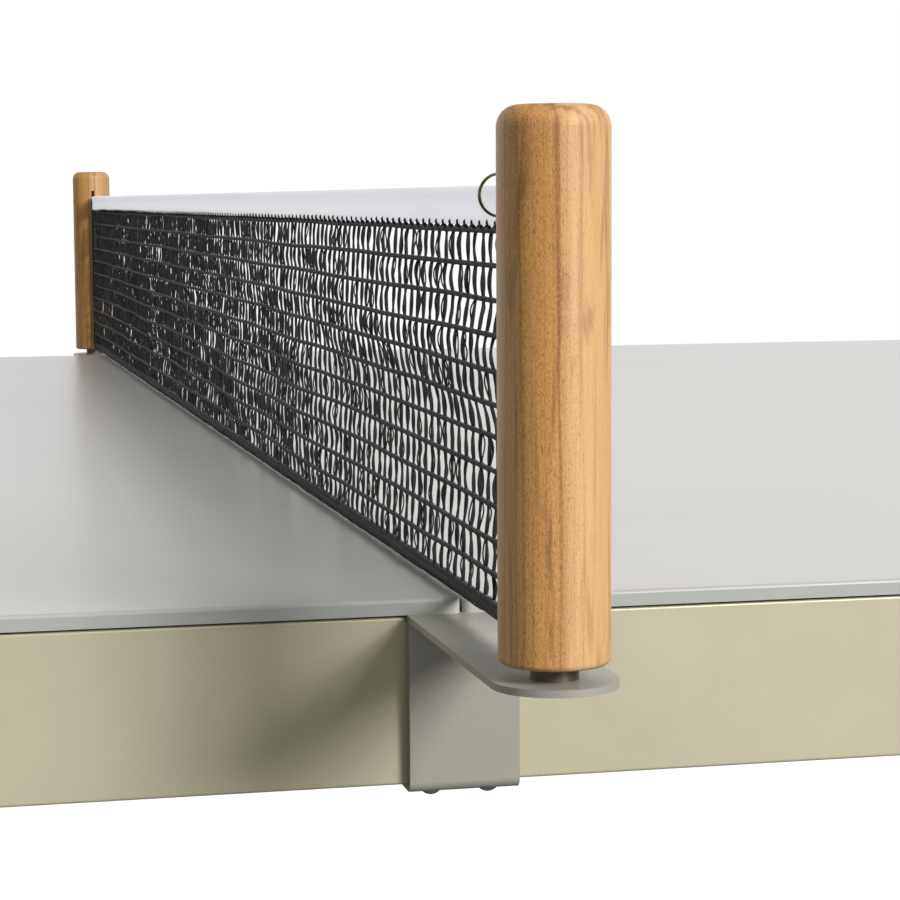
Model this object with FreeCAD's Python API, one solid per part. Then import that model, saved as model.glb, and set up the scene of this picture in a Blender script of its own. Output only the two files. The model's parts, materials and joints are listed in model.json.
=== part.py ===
import FreeCAD, Part
import math
import os

# Ping pong table: two laminate halves on a steel frame, four round wooden legs, and a net
# that lifts off between two round wooden posts.
# Millimetres. Origin on the floor under the middle of the net, +X along the table,
# +Y across it, +Z up.

V = FreeCAD.Vector
UP = V(0, 0, 1)
ALONG_X = V(1, 0, 0)
ALONG_Y = V(0, 1, 0)
OUTWARD = V(math.sqrt(0.5), math.sqrt(0.5), 0)
ORIGIN = V(0, 0, 0)

# How far a cutting shape starts outside the face that it cuts
CUT_MARGIN = 1.0
# Heights of paired fixings, as shares of the piece they go through
FIXING_SHARES = (0.25, 0.75)

# Playing surface
TOP_LENGTH = 2740.0
TOP_WIDTH = 1525.0
TOP_HEIGHT = 760.0
TOP_THICK = 6.0
TOP_CORNER_R = 15.0
SPLIT_CORNER_R = 3.0
TOP_ARRIS = 1.5
HALF_GAP = 1.0

# Apron frame: a rectangular tube all round, nearly flush with the edge above it
APRON_SETBACK = 1.5
APRON_DROP = 70.3
APRON_WIDTH = 25.0
APRON_EDGE_R = 1.2
TUBE_WALL = 2.0
GASKET_THICK = 0.8
GASKET_WIDTH = 22.5

# Beams below the halves
BEAM_TOP_DROP = 9.0
BEAM_HEIGHT = 30.0
CENTRE_BEAM_WIDTH = 70.0
CROSS_BEAM_WIDTH = 40.0
CROSS_BEAM_X = 680.0
STRINGER_WIDTH = 30.0
PAD_LENGTH = 12.0
PAD_WIDTH = 24.0
CENTRE_PAD_X = 23.0
PAD_YS = (-460.0, -230.0, 0.0, 230.0, 460.0)

# Screws up into the laminate, through small tabs on the aprons
TAB_SIZE = 26.0
TAB_THICK = 3.0
TAB_HOLE_D = 5.0
TAB_XS = (-980.0, -420.0, 420.0, 980.0)
TOP_SCREW_D = 4.0
TOP_SCREW_HEAD_D = 8.0
TOP_SCREW_HEAD = 2.6

# Net bracket: a flat arm with a round end, on a bent front plate
BRACKET_WIDTH = 42.0
BRACKET_THICK = 2.5
PLATE_PROUD = 3.3
PLATE_FLANGE = 13.0
PLATE_BEND_R = 4.0
POST_OVERHANG = 131.0
ARM_INBOARD = 120.0
ARM_BOLT_INSETS = (60.0, 100.0)
ARM_CLEARANCE = 0.4
BLOCK_WIDTH = 32.0
BLOCK_DEPTH = 7.0
BLOCK_HEIGHT = 10.0
PLATE_SCREW_SPACING = 22.0
PLATE_SCREW_IN = 6.0
PLATE_SCREW_D = 4.0
PLATE_SCREW_HEAD_D = 9.0
PLATE_SCREW_HEAD = 3.0
PLATE_SCREW_LENGTH = 12.0
PLATE_SOCKET_AF = 2.0
PLATE_SOCKET_DEPTH = 1.1
BEAM_BOLT_D = 6.0
BEAM_BOLT_HEAD_AF = 10.0
BEAM_BOLT_HEAD = 4.0
BOLT_CLEARANCE = 0.2

# Spigot that the post sits on
SPIGOT_COLLAR_D = 16.0
SPIGOT_PIN_D = 10.0
SPIGOT_PIN_LENGTH = 45.0
SPIGOT_TIP_CHAMFER = 1.5
SPIGOT_SHANK_D = 8.0
SPIGOT_NUT_D = 14.0
SPIGOT_NUT_HEIGHT = 2.5
SPIGOT_NUT_R = 0.8

# Net posts
POST_D = 36.5
POST_LENGTH = 178.0
POST_BASE_DROP = 1.0
POST_TOP_R = 7.0
POST_BOTTOM_R = 2.0
POST_LIFT_GAP = 0.3
SLEEVE_D = 13.0
SLEEVE_LENGTH = 48.0
PIN_CLEARANCE = 0.05
CHANNEL_D = 6.4
CHANNEL_OFFSET = 11.6
CHANNEL_TOP = 158.0
SLOT_WIDTH = 3.0

# Net, measured up from the playing surface
NET_TOP = 152.5
TAPE_HEIGHT = 14.0
TAPE_THICK = 3.6
TAPE_CLOTH = 0.5
CORD_D = 2.6
MESH_THICK = 2.0
HEM_D = 4.5
HEM_BOTTOM = 1.5
NET_END_GAP = 10.0
NET_PIECE_GAP = 0.2
EDGE_THICK = 1.6
ROD_D = 5.6
ROD_LENGTH = 146.0

# Split ring through an eyelet at the near end of the tape
RING_D = 15.2
RING_WIRE_D = 0.9
RING_COIL_PITCH = 1.0
RING_INSET = 53.5
RING_OUT = 4.2
RING_Z = 148.8
EYELET_HOLE_D = 6.6
EYELET_D = 9.0
EYELET_PROUD = 0.4

# Legs
LEG_TOP_D = 64.0
LEG_FOOT_D = 44.0
LEG_STRAIGHT = 90.0
LEG_TOP_DROP = 16.0
LEG_GAP = 1.0
LEG_EDGE_R = 2.0
SEAT_TURN = 225.0
BRACE_THICK = 4.0
BRACE_HEIGHT = 54.0
BRACE_TOP_DROP = 16.0
BRACE_SEAT = 26.0
BRACE_WING = 40.0
BRACE_SCREW_D = 6.0
BRACE_SCREW_HEAD_D = 11.0
BRACE_SCREW_HEAD = 3.2
BRACE_SCREW_EDGE = 14.0
LEG_BOLT_D = 8.0
LEG_BOLT_BITE = 24.0
LEG_BOLT_HEAD_AF = 13.0
LEG_BOLT_HEAD = 5.5

# Levelling feet
SOLE_D = 38.0
SOLE_THICK = 3.0
SOLE_EDGE_R = 1.0
FOOT_D = 42.0
FOOT_HEIGHT = 8.0
FOOT_RIM = 2.7
FOOT_SHOULDER_D = 28.0
FERRULE_HEIGHT = 26.0
FERRULE_WALL = 1.5
FERRULE_FLOOR = 2.0
FERRULE_BOTTOM = 22.0
STEM_D = 10.0
STEM_BORE_D = 10.1
STEM_BORE_DEPTH = 61.0
STEM_BORE_SPARE = 3.0
STEM_TOP_CHAMFER = 1.0
STEM_TIP_D = 8.0
STEM_TIP_HOLE_D = 8.1
STEM_TIP_DEPTH = 4.0
STEM_TIP_GAP = 0.3
STEM_HEX_AF = 17.0
STEM_HEX_HEIGHT = 6.0
STEM_HEX_GAP = 1.5

# Heights and places that follow from the sizes above
TOP_UNDER = TOP_HEIGHT - TOP_THICK
APRON_TOP = TOP_UNDER - GASKET_THICK
APRON_BOTTOM = TOP_HEIGHT - APRON_DROP
APRON_DEPTH = APRON_TOP - APRON_BOTTOM
HALF_LENGTH = TOP_LENGTH / 2
HALF_WIDTH = TOP_WIDTH / 2
APRON_OUT_X = HALF_LENGTH - APRON_SETBACK
APRON_OUT_Y = HALF_WIDTH - APRON_SETBACK
APRON_IN_X = APRON_OUT_X - APRON_WIDTH
APRON_IN_Y = APRON_OUT_Y - APRON_WIDTH
BEAM_TOP = TOP_HEIGHT - BEAM_TOP_DROP
BEAM_BOTTOM = BEAM_TOP - BEAM_HEIGHT
ARM_BOTTOM = TOP_UNDER - BRACKET_THICK
POST_Y = HALF_WIDTH + POST_OVERHANG
ROD_Y = POST_Y - CHANNEL_OFFSET
POST_INNER_Y = POST_Y - POST_D / 2
POST_BASE = TOP_HEIGHT - POST_BASE_DROP
NET_HALF = POST_INNER_Y - NET_END_GAP
TAPE_BOTTOM = TOP_HEIGHT + NET_TOP - TAPE_HEIGHT
TAPE_TOP = TOP_HEIGHT + NET_TOP
HEM_Z = TOP_HEIGHT + HEM_BOTTOM + HEM_D / 2
LEG_X = APRON_IN_X - LEG_GAP - LEG_TOP_D / 2
LEG_Y = APRON_IN_Y - LEG_GAP - LEG_TOP_D / 2
LEG_TOP = TOP_HEIGHT - LEG_TOP_DROP
LEG_BOTTOM = FERRULE_BOTTOM + FERRULE_FLOOR
BRACE_TOP = TOP_HEIGHT - BRACE_TOP_DROP
BRACE_BOTTOM = BRACE_TOP - BRACE_HEIGHT
CORNERS = {"1": (1, 1), "2": (-1, 1), "3": (-1, -1), "4": (1, -1)}
SIDES = {"near": -1, "far": 1}
HALVES = {"left": -1, "right": 1}


def box(low, high):
    size = V(*high) - V(*low)
    return Part.makeBox(size.x, size.y, size.z, V(*low))


def centred_box(length, width, height, x, y, z_bottom):
    return Part.makeBox(length, width, height, V(x - length / 2, y - width / 2, z_bottom))


def rod(diameter, length, start, direction=UP):
    return Part.makeCylinder(diameter / 2, length, V(*start), direction)


def hexagon(across_flats, height, start, direction=UP):
    corner = across_flats / math.sqrt(3)
    points = [
        V(corner * math.cos(math.radians(60 * i)), corner * math.sin(math.radians(60 * i)), 0)
        for i in range(6)
    ]
    prism = Part.Face(Part.makePolygon(points + points[:1])).extrude(UP * height)
    prism.Placement = FreeCAD.Placement(V(*start), FreeCAD.Rotation(UP, direction))
    return prism


def revolve(profile):
    """Solid of revolution about Z; profile is a list of (radius, z) points."""
    points = [V(r, 0, z) for r, z in profile]
    face = Part.Face(Part.makePolygon(points + points[:1]))
    return face.revolve(ORIGIN, UP, 360)


def circles_at(shape, z, tolerance=0.01):
    """Circular edges of the shape at one height."""
    found = []
    for edge in shape.Edges:
        flat = abs(edge.BoundBox.ZMin - z) < tolerance and abs(edge.BoundBox.ZMax - z) < tolerance
        if flat and isinstance(edge.Curve, Part.Circle):
            found.append(edge)
    return found


def to_corner(shape, corner):
    """Mirror a piece made for the +X +Y corner to another corner."""
    sign_x, sign_y = CORNERS[corner]
    if sign_x < 0:
        shape = shape.mirror(ORIGIN, ALONG_X)
    if sign_y < 0:
        shape = shape.mirror(ORIGIN, ALONG_Y)
    return shape


def to_side(shape, side):
    """Mirror a piece made for the near side (-Y) to the named side."""
    if SIDES[side] > 0:
        shape = shape.mirror(ORIGIN, ALONG_Y)
    return shape


def on_both_sides(shapes):
    return [to_side(shape, side) for side in SIDES for shape in shapes]


def save(node, *shapes):
    shape = shapes[0] if len(shapes) == 1 else Part.makeCompound(list(shapes))
    for solid in shape.Solids:
        if not solid.isValid():
            raise ValueError(node + " has a solid that is not valid")
    shape.exportStep("parts/" + node + ".step")


# --- Top and frame ---------------------------------------------------------------------------


def top_half(sign):
    """One laminate half: outer corners well rounded, corners at the split nearly square."""
    length = HALF_LENGTH - HALF_GAP / 2
    x_middle = sign * (HALF_GAP / 2 + length / 2)
    slab = centred_box(length, TOP_WIDTH, TOP_THICK, x_middle, 0, TOP_UNDER)
    upright = [e for e in slab.Edges if e.BoundBox.ZLength > TOP_THICK / 2]
    outer = [e for e in upright if abs(e.CenterOfMass.x) > HALF_LENGTH / 2]
    slab = slab.makeFillet(TOP_CORNER_R, outer)
    upright = [e for e in slab.Edges if e.BoundBox.ZLength > TOP_THICK / 2]
    inner = [e for e in upright if abs(e.CenterOfMass.x) < HALF_GAP]
    slab = slab.makeFillet(SPLIT_CORNER_R, inner)
    upper = [e for e in slab.Edges if e.BoundBox.ZMin > TOP_HEIGHT - TOP_THICK / 10]
    return slab.makeFillet(TOP_ARRIS, upper)


def long_tube(length, width, height, x, y, z_bottom, along_x=True, edge_r=0.0):
    """Rectangular tube lying along X or Y, open at both ends."""
    size = (length, width) if along_x else (width, length)
    outer = centred_box(size[0], size[1], height, x, y, z_bottom)
    if edge_r:
        span = outer.BoundBox.XLength if along_x else outer.BoundBox.YLength
        runs = [e for e in outer.Edges if abs(e.Length - span) < edge_r]
        outer = outer.makeFillet(edge_r, runs)
    inner_width = width - 2 * TUBE_WALL
    bore = (length, inner_width) if along_x else (inner_width, length)
    inner = centred_box(bore[0], bore[1], height - 2 * TUBE_WALL, x, y, z_bottom + TUBE_WALL)
    return outer.cut(inner)


def arm_notch(side):
    """Space in a long apron for the bracket's arm, which lies close under the top."""
    y = SIDES[side] * (APRON_OUT_Y - APRON_WIDTH / 2)
    width = BRACKET_WIDTH + 2 * ARM_CLEARANCE
    z = ARM_BOTTOM - ARM_CLEARANCE
    return centred_box(width, 2 * APRON_WIDTH, TOP_UNDER - z, 0, y, z)


def long_apron(side):
    y = SIDES[side] * (APRON_OUT_Y - APRON_WIDTH / 2)
    tube = long_tube(
        2 * APRON_OUT_X, APRON_WIDTH, APRON_DEPTH, 0, y, APRON_BOTTOM, edge_r=APRON_EDGE_R
    )
    holes = [to_side(hole, side) for hole in plate_screw_holes()]
    return tube.cut([arm_notch(side)] + holes)


def end_apron(sign):
    x = sign * (APRON_OUT_X - APRON_WIDTH / 2)
    return long_tube(2 * APRON_IN_Y, APRON_WIDTH, APRON_DEPTH, x, 0, APRON_BOTTOM, along_x=False)


def apron_gaskets():
    """Thin dark strips between the aprons and the top: the shadow line under the edge."""
    strips = []
    middle_y = APRON_OUT_Y - APRON_WIDTH / 2
    middle_x = APRON_OUT_X - APRON_WIDTH / 2
    start_x = BRACKET_WIDTH / 2 + ARM_CLEARANCE
    side_length = middle_x + GASKET_WIDTH / 2 - start_x
    end_length = 2 * middle_y - GASKET_WIDTH
    for sign_x in (-1, 1):
        for sign_y in (-1, 1):
            x = sign_x * (start_x + side_length / 2)
            strips.append(
                centred_box(side_length, GASKET_WIDTH, GASKET_THICK, x, sign_y * middle_y, APRON_TOP)
            )
        strips.append(
            centred_box(GASKET_WIDTH, end_length, GASKET_THICK, sign_x * middle_x, 0, APRON_TOP)
        )
    return strips


def centre_beam():
    """Beam under the split between the halves; the bracket arms are bolted down on it."""
    beam = long_tube(
        2 * APRON_IN_Y, CENTRE_BEAM_WIDTH, BEAM_HEIGHT, 0, 0, BEAM_BOTTOM, along_x=False
    )
    holes = [
        rod(BEAM_BOLT_D + 2 * BOLT_CLEARANCE, 2 * BEAM_HEIGHT, (x, y, BEAM_BOTTOM - BEAM_HEIGHT / 2))
        for x, y in beam_bolt_places()
    ]
    return beam.cut(Part.makeCompound(holes))


def beam_bolt_places():
    return [(0, s * (HALF_WIDTH - inset)) for s in (-1, 1) for inset in ARM_BOLT_INSETS]


def cross_beam(sign):
    return long_tube(
        2 * APRON_IN_Y, CROSS_BEAM_WIDTH, BEAM_HEIGHT, sign * CROSS_BEAM_X, 0, BEAM_BOTTOM,
        along_x=False,
    )


def stringers():
    """Four short tubes along the middle, between the beams and the end aprons."""
    inner = (CENTRE_BEAM_WIDTH / 2, CROSS_BEAM_X - CROSS_BEAM_WIDTH / 2)
    outer = (CROSS_BEAM_X + CROSS_BEAM_WIDTH / 2, APRON_IN_X)
    tubes = []
    for sign in (-1, 1):
        for start, end in (inner, outer):
            middle = sign * (start + end) / 2
            tubes.append(
                long_tube(end - start, STRINGER_WIDTH, BEAM_HEIGHT, middle, 0, BEAM_BOTTOM)
            )
    return tubes


def beam_pads():
    """Rubber pads on the beams that carry the middle of each half."""
    height = TOP_UNDER - BEAM_TOP
    pads = []
    for x in (-CROSS_BEAM_X, -CENTRE_PAD_X, CENTRE_PAD_X, CROSS_BEAM_X):
        for y in PAD_YS:
            pads.append(centred_box(PAD_LENGTH, PAD_WIDTH, height, x, y, BEAM_TOP))
    return pads


def tab_places():
    """Plan centres of the tabs on the inner faces of the two long aprons."""
    y = APRON_IN_Y - TAB_SIZE / 2
    return [(x, sign * y) for sign in (-1, 1) for x in TAB_XS]


def top_tabs():
    tabs = []
    for x, y in tab_places():
        plate = centred_box(TAB_SIZE, TAB_SIZE, TAB_THICK, x, y, APRON_TOP - TAB_THICK)
        hole = rod(TAB_HOLE_D, 2 * TAB_THICK, (x, y, APRON_TOP - TAB_THICK - CUT_MARGIN))
        tabs.append(plate.cut(hole))
    return tabs


def top_screws():
    """Pan-head screws up through the tabs, to just under the laminate's underside."""
    screws = []
    under_tab = APRON_TOP - TAB_THICK
    for x, y in tab_places():
        head = rod(TOP_SCREW_HEAD_D, TOP_SCREW_HEAD, (x, y, under_tab - TOP_SCREW_HEAD))
        shank = rod(TOP_SCREW_D, TOP_UNDER - under_tab, (x, y, under_tab))
        screws.append(head.fuse(shank).removeSplitter())
    return screws


# --- Net brackets (made for the near side) ---------------------------------------------------


def bracket_arm():
    """Flat arm from under the halves out to a full round end below the post."""
    half = BRACKET_WIDTH / 2
    inner_y = -(HALF_WIDTH - ARM_INBOARD)
    left_in = V(-half, inner_y, ARM_BOTTOM)
    right_in = V(half, inner_y, ARM_BOTTOM)
    left_out = V(-half, -POST_Y, ARM_BOTTOM)
    right_out = V(half, -POST_Y, ARM_BOTTOM)
    tip = V(0, -POST_Y - half, ARM_BOTTOM)
    outline = Part.Wire([
        Part.LineSegment(left_out, left_in).toShape(),
        Part.LineSegment(left_in, right_in).toShape(),
        Part.LineSegment(right_in, right_out).toShape(),
        Part.Arc(right_out, tip, left_out).toShape(),
    ])
    arm = Part.Face(outline).extrude(UP * BRACKET_THICK)
    z = ARM_BOTTOM - CUT_MARGIN
    arm = arm.cut(rod(SPIGOT_SHANK_D, 2 * BRACKET_THICK, (0, -POST_Y, z)))
    for x, y in beam_bolt_places():
        arm = arm.cut(rod(BEAM_BOLT_D, 2 * BRACKET_THICK, (x, y, z)))
    return arm


def bracket_plate():
    """Front plate welded under the arm, with a flange bent back under the apron."""
    half = BRACKET_WIDTH / 2
    front = -(HALF_WIDTH + PLATE_PROUD)
    back = -(APRON_OUT_Y - PLATE_FLANGE)
    inner_r = PLATE_BEND_R - BRACKET_THICK
    z0 = APRON_BOTTOM - BRACKET_THICK
    outer_mid = PLATE_BEND_R * (1 - math.sqrt(0.5))
    inner_mid = BRACKET_THICK + inner_r * (1 - math.sqrt(0.5))
    corner = [
        V(-half, front, ARM_BOTTOM),
        V(-half, front, z0 + PLATE_BEND_R),
        V(-half, front + PLATE_BEND_R, z0),
        V(-half, back, z0),
        V(-half, back, z0 + BRACKET_THICK),
        V(-half, front + PLATE_BEND_R, z0 + BRACKET_THICK),
        V(-half, front + BRACKET_THICK, z0 + PLATE_BEND_R),
        V(-half, front + BRACKET_THICK, ARM_BOTTOM),
    ]
    outline = Part.Wire([
        Part.LineSegment(corner[0], corner[1]).toShape(),
        Part.Arc(corner[1], V(-half, front + outer_mid, z0 + outer_mid), corner[2]).toShape(),
        Part.LineSegment(corner[2], corner[3]).toShape(),
        Part.LineSegment(corner[3], corner[4]).toShape(),
        Part.LineSegment(corner[4], corner[5]).toShape(),
        Part.Arc(corner[5], V(-half, front + inner_mid, z0 + inner_mid), corner[6]).toShape(),
        Part.LineSegment(corner[6], corner[7]).toShape(),
        Part.LineSegment(corner[7], corner[0]).toShape(),
    ])
    plate = Part.Face(outline).extrude(ALONG_X * BRACKET_WIDTH)
    return plate.cut(plate_screw_holes())


def plate_screw_places():
    y = -(APRON_OUT_Y - PLATE_SCREW_IN)
    return [(-PLATE_SCREW_SPACING / 2, y), (PLATE_SCREW_SPACING / 2, y)]


def plate_screw_holes():
    """Clearance holes through the plate's flange and the apron's lower wall."""
    z = APRON_BOTTOM - BRACKET_THICK - CUT_MARGIN
    length = BRACKET_THICK + TUBE_WALL + 2 * CUT_MARGIN
    return [rod(PLATE_SCREW_D + 2 * BOLT_CLEARANCE, length, (x, y, z)) for x, y in plate_screw_places()]


def bracket_block():
    """Threaded block inside the apron, on its lower wall."""
    z = APRON_BOTTOM + TUBE_WALL
    block = centred_box(BLOCK_WIDTH, BLOCK_DEPTH, BLOCK_HEIGHT, 0, plate_screw_places()[0][1], z)
    for x, y in plate_screw_places():
        block = block.cut(rod(PLATE_SCREW_D, PLATE_SCREW_LENGTH, (x, y, z - CUT_MARGIN)))
    return block


def button_head(diameter, height, x, y, z_top):
    """Domed screw head that hangs below z_top."""
    sphere_r = (diameter * diameter / 4 + height * height) / (2 * height)
    centre_z = z_top - height + sphere_r
    ball = Part.makeSphere(sphere_r, V(x, y, centre_z))
    keep = rod(diameter, height, (x, y, z_top - height))
    return ball.common(keep)


def plate_screws():
    """Two button-head screws up through the flange and the apron into the block."""
    screws = []
    under = APRON_BOTTOM - BRACKET_THICK
    for x, y in plate_screw_places():
        head = button_head(PLATE_SCREW_HEAD_D, PLATE_SCREW_HEAD, x, y, under)
        socket = hexagon(PLATE_SOCKET_AF, PLATE_SOCKET_DEPTH, (x, y, under - PLATE_SCREW_HEAD))
        shank = rod(PLATE_SCREW_D, PLATE_SCREW_LENGTH, (x, y, under))
        screws.append(head.fuse(shank).removeSplitter().cut(socket))
    return screws


def beam_bolts():
    """Hex bolts up through the centre beam into the bracket arms, both sides."""
    bolts = []
    length = TOP_UNDER - BEAM_BOTTOM - ARM_CLEARANCE
    for x, y in beam_bolt_places():
        head = hexagon(BEAM_BOLT_HEAD_AF, BEAM_BOLT_HEAD, (x, y, BEAM_BOTTOM - BEAM_BOLT_HEAD))
        bolts.append(head.fuse(rod(BEAM_BOLT_D, length, (x, y, BEAM_BOTTOM))).removeSplitter())
    return bolts


def spigot():
    """Collar and pin above the arm, shank through it, low round nut below."""
    collar_h = POST_BASE - TOP_UNDER - POST_LIFT_GAP
    pin_z = TOP_UNDER + collar_h
    pin = rod(SPIGOT_PIN_D, SPIGOT_PIN_LENGTH, (0, -POST_Y, pin_z))
    pin = pin.makeChamfer(SPIGOT_TIP_CHAMFER, circles_at(pin, pin_z + SPIGOT_PIN_LENGTH))
    nut = rod(SPIGOT_NUT_D, SPIGOT_NUT_HEIGHT, (0, -POST_Y, ARM_BOTTOM - SPIGOT_NUT_HEIGHT))
    nut = nut.makeFillet(SPIGOT_NUT_R, circles_at(nut, ARM_BOTTOM - SPIGOT_NUT_HEIGHT))
    collar = rod(SPIGOT_COLLAR_D, collar_h, (0, -POST_Y, TOP_UNDER))
    shank = rod(SPIGOT_SHANK_D, BRACKET_THICK, (0, -POST_Y, ARM_BOTTOM))
    return nut.fuse([shank, collar, pin]).removeSplitter()


# --- Net set (made for the near side) --------------------------------------------------------


def post():
    """Round wooden post with a sleeve bore below and a keyhole channel for the net's end."""
    body = rod(POST_D, POST_LENGTH, (0, -POST_Y, POST_BASE))
    body = body.makeFillet(POST_TOP_R, circles_at(body, POST_BASE + POST_LENGTH))
    body = body.makeFillet(POST_BOTTOM_R, circles_at(body, POST_BASE))
    under = POST_BASE - CUT_MARGIN
    bore = rod(SLEEVE_D, SLEEVE_LENGTH + CUT_MARGIN, (0, -POST_Y, under))
    channel = rod(CHANNEL_D, TOP_HEIGHT + CHANNEL_TOP - under, (0, -ROD_Y, under))
    slot = box(
        (-SLOT_WIDTH / 2, -ROD_Y, under),
        (SLOT_WIDTH / 2, -POST_INNER_Y + POST_BOTTOM_R, TOP_HEIGHT + CHANNEL_TOP),
    )
    return body.cut([bore, channel, slot])


def post_sleeve():
    """Thin metal sleeve pressed in the post; the spigot's pin slides in it."""
    start = (0, -POST_Y, POST_BASE)
    outer = rod(SLEEVE_D, SLEEVE_LENGTH, start)
    return outer.cut(rod(SPIGOT_PIN_D + 2 * PIN_CLEARANCE, SLEEVE_LENGTH, start))


def net_rod():
    return rod(ROD_D, ROD_LENGTH, (0, -ROD_Y, HEM_Z - HEM_D / 2))


def net_edge():
    """Woven strip at the net's end, which passes through the post's slot to the rod."""
    start = -(ROD_Y - ROD_D / 2)
    low = (-EDGE_THICK / 2, start, HEM_Z - HEM_D / 2)
    return box(low, (EDGE_THICK / 2, -NET_HALF, TAPE_TOP - CORD_D - 2 * TAPE_CLOTH))


def net_mesh():
    low = (-MESH_THICK / 2, -NET_HALF, HEM_Z + HEM_D / 2 + NET_PIECE_GAP)
    return box(low, (MESH_THICK / 2, NET_HALF, TAPE_BOTTOM - NET_PIECE_GAP))


def net_hem():
    return rod(HEM_D, 2 * NET_HALF, (0, -NET_HALF, HEM_Z), ALONG_Y)


def net_cord():
    """Tension cord inside the tape, from rod to rod."""
    half = ROD_Y - ROD_D / 2
    return rod(CORD_D, 2 * half, (0, -half, cord_z()), ALONG_Y)


def cord_z():
    return TAPE_TOP - TAPE_THICK / 2


def net_tape():
    """White band folded over the cord, with the eyelet's hole near one end."""
    outer = rod(TAPE_THICK, 2 * NET_HALF, (0, -NET_HALF, cord_z()), ALONG_Y)
    wall = MESH_THICK / 2
    skirt = box((-wall, -NET_HALF, TAPE_BOTTOM), (wall, NET_HALF, cord_z()))
    tube = rod(CORD_D, 2 * NET_HALF, (0, -NET_HALF, cord_z()), ALONG_Y)
    hole = rod(EYELET_HOLE_D, TAPE_THICK, (-TAPE_THICK / 2, ring_y(), eyelet_z()), ALONG_X)
    return outer.fuse(skirt).removeSplitter().cut([tube, hole])


def ring_y():
    return -(POST_Y - RING_INSET)


def ring_centre_r():
    return (RING_D - RING_WIRE_D) / 2


def eyelet_z():
    """Height at which the ring's wire passes through the tape's middle plane."""
    radius = ring_centre_r()
    return TOP_HEIGHT + RING_Z - math.sqrt(radius * radius - RING_OUT * RING_OUT)


def eyelet():
    """Two thin flanges, one on each face of the tape, round the hole."""
    flanges = []
    for sign in (-1, 1):
        start = (sign * MESH_THICK / 2, ring_y(), eyelet_z())
        disc = rod(EYELET_D, EYELET_PROUD, start, ALONG_X * sign)
        flanges.append(disc.cut(rod(EYELET_HOLE_D, EYELET_PROUD, start, ALONG_X * sign)))
    return flanges


def ring():
    """Split ring of two close coils, hung through the eyelet and over the tape."""
    coils = []
    for sign in (-1, 1):
        centre = V(-RING_OUT, ring_y() + sign * RING_COIL_PITCH / 2, TOP_HEIGHT + RING_Z)
        coils.append(Part.makeTorus(ring_centre_r(), RING_WIRE_D / 2, centre, ALONG_Y))
    return coils


# --- Legs and feet (made for the +X +Y corner) -----------------------------------------------


def leg_radius(z):
    """Leg radius at one height: straight at the top, then a plain taper."""
    taper_top = LEG_TOP - LEG_STRAIGHT
    if z >= taper_top:
        return LEG_TOP_D / 2
    part = (z - LEG_BOTTOM) / (taper_top - LEG_BOTTOM)
    return (LEG_FOOT_D + part * (LEG_TOP_D - LEG_FOOT_D)) / 2


def leg():
    """Tapered round leg with a flat seat for the brace and a socket for the foot."""
    ferrule_top = FERRULE_BOTTOM + FERRULE_HEIGHT
    neck = leg_radius(ferrule_top) - FERRULE_WALL
    body = revolve([
        (0, LEG_BOTTOM),
        (neck, LEG_BOTTOM),
        (neck, ferrule_top),
        (leg_radius(ferrule_top), ferrule_top),
        (LEG_TOP_D / 2, LEG_TOP - LEG_STRAIGHT),
        (LEG_TOP_D / 2, LEG_TOP),
        (0, LEG_TOP),
    ])
    body = body.makeFillet(LEG_EDGE_R, circles_at(body, LEG_TOP))
    bore = rod(STEM_BORE_D, STEM_BORE_DEPTH + CUT_MARGIN, (0, 0, LEG_BOTTOM - CUT_MARGIN))
    body = body.cut(bore)
    seat = Part.makeBox(LEG_TOP_D, 2 * LEG_TOP_D, 2 * BRACE_HEIGHT)
    seat.translate(V(BRACE_SEAT, -LEG_TOP_D, BRACE_BOTTOM - LEG_EDGE_R))
    seat.rotate(ORIGIN, UP, SEAT_TURN)
    body = body.cut(seat)
    body.translate(V(LEG_X, LEG_Y, 0))
    holes = [
        rod(LEG_BOLT_D, LEG_BOLT_BITE + CUT_MARGIN, start, OUTWARD) for start in leg_bolt_starts()
    ]
    return body.cut(holes)


def leg_bolt_starts():
    """Points on the leg's flat seat where the two bolts enter."""
    middle = V(LEG_X, LEG_Y, 0) - OUTWARD * BRACE_SEAT
    return [(middle.x, middle.y, BRACE_BOTTOM + BRACE_HEIGHT * share) for share in FIXING_SHARES]


def leg_bolts():
    bolts = []
    for start in leg_bolt_starts():
        seat = V(*start) - OUTWARD * BRACE_THICK
        shank = rod(LEG_BOLT_D, BRACE_THICK + LEG_BOLT_BITE, tuple(seat), OUTWARD)
        head = hexagon(LEG_BOLT_HEAD_AF, LEG_BOLT_HEAD, tuple(seat), -OUTWARD)
        bolts.append(shank.fuse(head).removeSplitter())
    return bolts


def brace_corners():
    """Plan points of the brace's face on the leg's seat, from wing end to wing end."""
    reach = LEG_X + LEG_Y - BRACE_SEAT * math.sqrt(2)
    on_end = V(APRON_IN_X, reach - APRON_IN_X, 0)
    on_side = V(reach - APRON_IN_Y, APRON_IN_Y, 0)
    return [on_end - ALONG_Y * BRACE_WING, on_end, on_side, on_side - ALONG_X * BRACE_WING]


def offset_line(points, distance):
    """Mitred offset of an open plan polyline, to the left of its direction."""
    normals = []
    for a, b in zip(points, points[1:]):
        run = (b - a).normalize()
        normals.append(V(-run.y, run.x, 0))
    moved = [points[0] + normals[0] * distance]
    for point, before, after in zip(points[1:-1], normals, normals[1:]):
        middle = (before + after).normalize()
        moved.append(point + middle * (distance / middle.dot(after)))
    moved.append(points[-1] + normals[-1] * distance)
    return moved


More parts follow.
